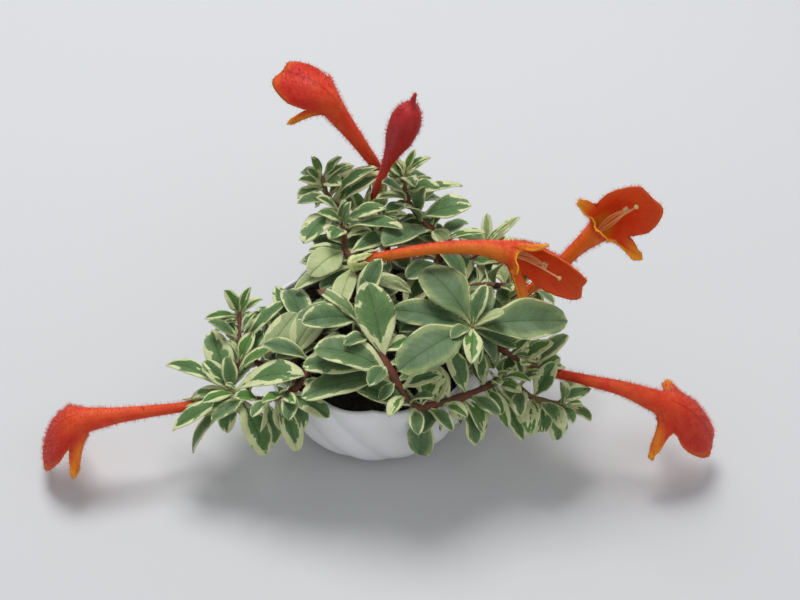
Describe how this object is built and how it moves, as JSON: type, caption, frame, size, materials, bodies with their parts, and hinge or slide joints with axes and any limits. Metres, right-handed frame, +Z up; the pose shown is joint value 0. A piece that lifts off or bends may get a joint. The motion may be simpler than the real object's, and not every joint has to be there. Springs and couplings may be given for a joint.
{
  "type": "potted variegated columnea hirta",
  "caption": "Trailing house plant with hairy cream-edged leaves and long scarlet hooded flowers, standing in a small white swirl-fluted bowl.",
  "frame": {"origin": "middle of the flat foot of the bowl, on the surface it stands on", "axes": "+Z up, +X to the right and -Y to the front as the picture sees it"},
  "size_m": [0.2928, 0.1498, 0.1342],
  "materials": {
    "pot": "satin",
    "soil": "matte",
    "foliage": "matte",
    "petal": "satin",
    "bud": "satin",
    "calyx": "matte",
    "stamen": "matte"
  },
  "bodies": {
    "root": {"pot": "pot", "potting_mix": "soil", "leafy_stem_left": "foliage", "leafy_stem_mid_left": "foliage", "leafy_stem_front": "foliage", "leafy_stem_centre": "foliage", "leafy_stem_right": "foliage", "leafy_stem_right_back": "foliage", "leafy_stem_back": "foliage", "leafy_stem_back_middle": "foliage", "leafy_stem_back_left": "foliage", "leafy_stem_back_trailing": "foliage", "corolla_left": "petal", "calyx_left": "calyx", "stamens_left": "stamen", "corolla_top": "petal", "calyx_top": "calyx", "stamens_top": "stamen", "corolla_centre": "petal", "calyx_centre": "calyx", "stamens_centre": "stamen", "corolla_upper_right": "petal", "calyx_upper_right": "calyx", "stamens_upper_right": "stamen", "corolla_right": "petal", "calyx_right": "calyx", "stamens_right": "stamen", "corolla_bud": "bud", "calyx_bud": "calyx"}
  },
  "joints": []
}
